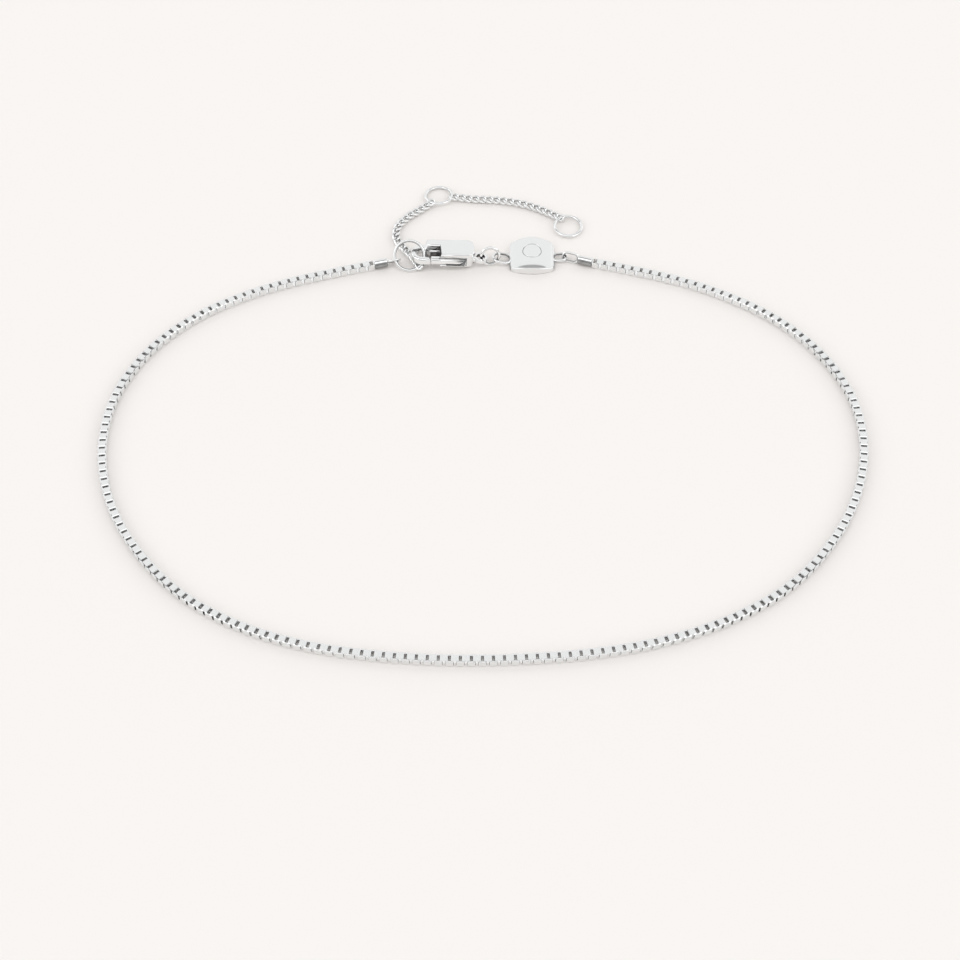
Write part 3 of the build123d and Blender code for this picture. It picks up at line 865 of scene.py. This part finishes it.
def tag_plate():
    """The tag's plate as a grid of rings from the middle of its top to the middle of its underside.

    The top is an arc over x that falls by f (1 - d / reach)^2 (1 - (x / 0.9 half width)^4) at a distance d
    inside the bowed edges, and the circle line is cut into it as a dip of depth d cos^2 across its width.
    Its rim is rounded from the slope there, tilt, to upright. Also gives how dark each corner is painted:
    the groove, and painted shade on the front halves of the side edges.
    """
    a, reach = tag_outline()
    half_width = TAG_WIDTH / 2
    rise = np.abs(np.sin(a))
    way = np.stack([np.cos(a), np.sin(a)], axis=1)
    outline = reach[:, None] * way

    middle = np.array([0, ENGRAVED_OFFSET])
    across = ENGRAVED_RADIUS + ENGRAVED_WIDTH / 2 * np.linspace(-GROOVE_REACH, GROOVE_REACH, GROOVE_RINGS)
    radii = np.concatenate([[0], np.linspace(FIRST_RING, across[0] - GROOVE_MARGIN, MIDDLE_RINGS), across])
    inner = middle + radii[:, None, None] * way
    shares = np.linspace(0, 1, OUTER_RINGS + 1)[1:, None, None]
    rounding = (TAG_SIDE_ROUNDING + (TAG_BOW_ROUNDING - TAG_SIDE_ROUNDING) * rise**4)[:, None]
    rim = outline - rounding * way
    flat = np.concatenate([inner, inner[-1] * (1 - shares) + rim * shares])

    drop = TAG_MIDDLE - TAG_EDGE
    bow_radius = (half_width**2 + drop**2) / (2 * drop)
    high = TAG_MIDDLE - bow_radius + np.sqrt(bow_radius**2 - flat[..., 0] ** 2)
    near = np.clip(1 - (reach - np.linalg.norm(flat, axis=-1)) / TAG_FALL_REACH, 0, 1)
    bowed = np.clip(1 - (outline[:, 0] / (TAG_FALL_WIDTH * half_width)) ** 4, 0, 1)
    high = high - TAG_FALL * near**2 * bowed
    off = np.clip(np.abs(radii - ENGRAVED_RADIUS) / (ENGRAVED_WIDTH / 2), 0, 1)
    groove = np.concatenate([np.cos(off * pi / 2) ** 2, np.zeros(len(shares))])
    top = np.concatenate([flat, (high - ENGRAVED_DEPTH * groove[:, None])[..., None]], axis=-1)

    tilt = np.arctan(2 * TAG_FALL / TAG_FALL_REACH * bowed * (rise > TAG_BOW_FROM))[:, None]
    turn = tilt + (pi / 2 - tilt) * np.linspace(0, 1, RIM_RINGS + 1)[1:, None, None]
    radius = rounding / (1 - np.sin(tilt))
    soft_flat = outline - radius * way * (1 - np.sin(turn))
    soft_high = high[-1][:, None] - radius * (np.cos(tilt) - np.cos(turn))
    soft = np.concatenate([soft_flat, soft_high], axis=-1)

    below = (outline, TAG_FOOT), (outline - TAG_FOOT * way, 0), (0.5 * outline, 0), (0 * outline, 0)
    level = [np.column_stack([ring, np.full(TAG_DIRECTIONS, height)])[None] for ring, height in below]
    grid = np.concatenate([top, soft, *level])
    dark_groove_and_shade = np.zeros(grid.shape[:2])
    dark_groove_and_shade[: len(groove)] = groove[:, None]
    # painted shade on the front halves of the side edges
    dark_groove_and_shade[len(top) + 2 : -3] = TAG_EDGE_SHADE * ((rise < TAG_SIDE_TO) & (np.sin(a) < 0))
    return grid + TAG_AT, dark_groove_and_shade


def close_up(piece):
    """Merges the poles of a piece and turns its faces outwards."""
    work = bmesh.new()
    work.from_mesh(piece.data)
    bmesh.ops.remove_doubles(work, verts=work.verts, dist=1e-8)
    bmesh.ops.recalc_face_normals(work, faces=work.faces)
    work.to_mesh(piece.data)
    work.free()


class ANKLET_OT_studio(bpy.types.Operator):
    """Pale surface, soft studio light and the camera"""

    bl_idname = "anklet.studio"
    bl_label = "Studio"

    def execute(self, context):
        scene = context.scene
        scene.view_settings.view_transform = "Standard"
        self.surface()
        self.tent(scene)
        optics = bpy.data.cameras.new("camera")
        optics.lens, optics.sensor_width = CAMERA_LENS, CAMERA_SENSOR
        optics.clip_start, optics.clip_end = CAMERA_CLIP
        camera = bpy.data.objects.new("camera", optics)
        scene.collection.objects.link(camera)
        camera.location = CAMERA_AT * MM
        camera.rotation_euler = (radians(90 - CAMERA_DOWN), 0, 0)
        scene.camera = camera
        return {"FINISHED"}

    def surface(self):
        """A wide plane in matt card, which shows soft shadows and no mirror image."""
        card = bpy.data.materials.new("Matt card, pale")
        card.use_nodes = True
        shader = card.node_tree.nodes["Principled BSDF"]
        shader.inputs["Base Color"].default_value = (*settings().surface_colour, 1.0)
        shader.inputs["Roughness"].default_value = 0.9
        corners = np.array([(-1, -1, 0), (1, -1, 0), (1, 1, 0), (-1, 1, 0)]) * FLOOR_HALF
        floor = new_piece("surface", corners, np.array([(0, 1, 2, 3)]), card, smooth=False)

    def tent(self, scene):
        """White light from all round, with the parts that TENT_PARTS dims and a dim band at the horizon.

        A direction is told by how far it rises over the front, from 0 through 90 overhead to 180 degrees at
        the back, and by how far it lies to the side. The band leaves out the back.
        """
        world = bpy.data.worlds.new("light_tent")
        scene.world = world
        world.use_nodes = True
        tree = world.node_tree
        way = add_node(tree, "ShaderNodeTexCoord").outputs["Generated"]
        aside, back, high = add_node(tree, "ShaderNodeSeparateXYZ", (way,)).outputs
        front = add_node(tree, "ShaderNodeMath", (back, -1.0), operation="MULTIPLY")
        rise = add_node(tree, "ShaderNodeMath", (high, front), operation="ARCTAN2")
        aside = add_node(tree, "ShaderNodeMath", (aside,), operation="ABSOLUTE")
        heights = [sin(radians(HORIZON[name])) for name in ("full", "gone")]
        low = add_node(tree, "ShaderNodeMapRange", (high, *heights, 1.0, 0.0), **SOFT_ENDS)
        by_front = (front, HORIZON["back"], HORIZON["front"], 0.0, 1.0)
        ahead = add_node(tree, "ShaderNodeMapRange", by_front, **SOFT_ENDS)
        horizon = add_node(tree, "ShaderNodeMath", (low, ahead), operation="MULTIPLY")
        covers = [(self.cover(tree, rise, aside, part), part["shade"]) for part in TENT_PARTS]
        tone = settings().tent_light
        for cover, shade in (*covers, (horizon, HORIZON["shade"])):
            tone = add_node(tree, "ShaderNodeMix", {"Factor": cover, "A": tone, "B": shade})
        background = tree.nodes["Background"]
        background.inputs["Color"].default_value = linear("#FFFFFF")
        tree.links.new(tone.outputs[0], background.inputs["Strength"])

    def cover(self, tree, rise, aside, part):
        """1 inside a dimmer part of the tent and 0 outside it, with soft edges."""
        reach, edge = radians(part["reach"]), radians(part["reach"] + part["soft"])
        off = add_node(tree, "ShaderNodeMath", (rise, radians(part["middle"])), operation="SUBTRACT")
        away = add_node(tree, "ShaderNodeMath", (off,), operation="ABSOLUTE")
        tall = add_node(tree, "ShaderNodeMapRange", (away, reach, edge, 1.0, 0.0), **SOFT_ENDS)
        by_side = (aside, part["width"], part["width"] + TENT_SIDE_SOFT, 1.0, 0.0)
        wide = add_node(tree, "ShaderNodeMapRange", by_side, **SOFT_ENDS)
        return add_node(tree, "ShaderNodeMath", (tall, wide), operation="MULTIPLY")


# ---- panel and registration ------------------------------------------------------------------------------

STEPS = (
    ANKLET_OT_studio,
    ANKLET_OT_box_chain,
    ANKLET_OT_curb_chain,
    ANKLET_OT_rings,
    ANKLET_OT_end_caps,
    ANKLET_OT_clasp,
    ANKLET_OT_tag,
)


class ANKLET_PT_steps(bpy.types.Panel):
    """The anklet's settings and the steps that build it"""

    bl_idname = "ANKLET_PT_steps"
    bl_label = "Chain anklet"
    bl_space_type = "VIEW_3D"
    bl_region_type = "UI"
    bl_category = "Anklet"

    def draw(self, context):
        for name in AnkletSettings.__annotations__:
            self.layout.prop(context.scene.anklet, name)
        for step in STEPS:
            self.layout.operator(step.bl_idname)


CLASSES = (AnkletSettings, *STEPS, ANKLET_PT_steps)


def register():
    """Makes the settings, operators and panel known to Blender."""
    for each in CLASSES:
        bpy.utils.register_class(each)
    bpy.types.Scene.anklet = bpy.props.PointerProperty(type=AnkletSettings)


def unregister():
    """Takes the settings, operators and panel away again."""
    del bpy.types.Scene.anklet
    for each in reversed(CLASSES):
        bpy.utils.unregister_class(each)


def main():
    """Builds the whole anklet."""
    register()
    for step in STEPS:
        section, name = step.bl_idname.split(".")
        getattr(getattr(bpy.ops, section), name)()


if __name__ == "__main__":
    main()
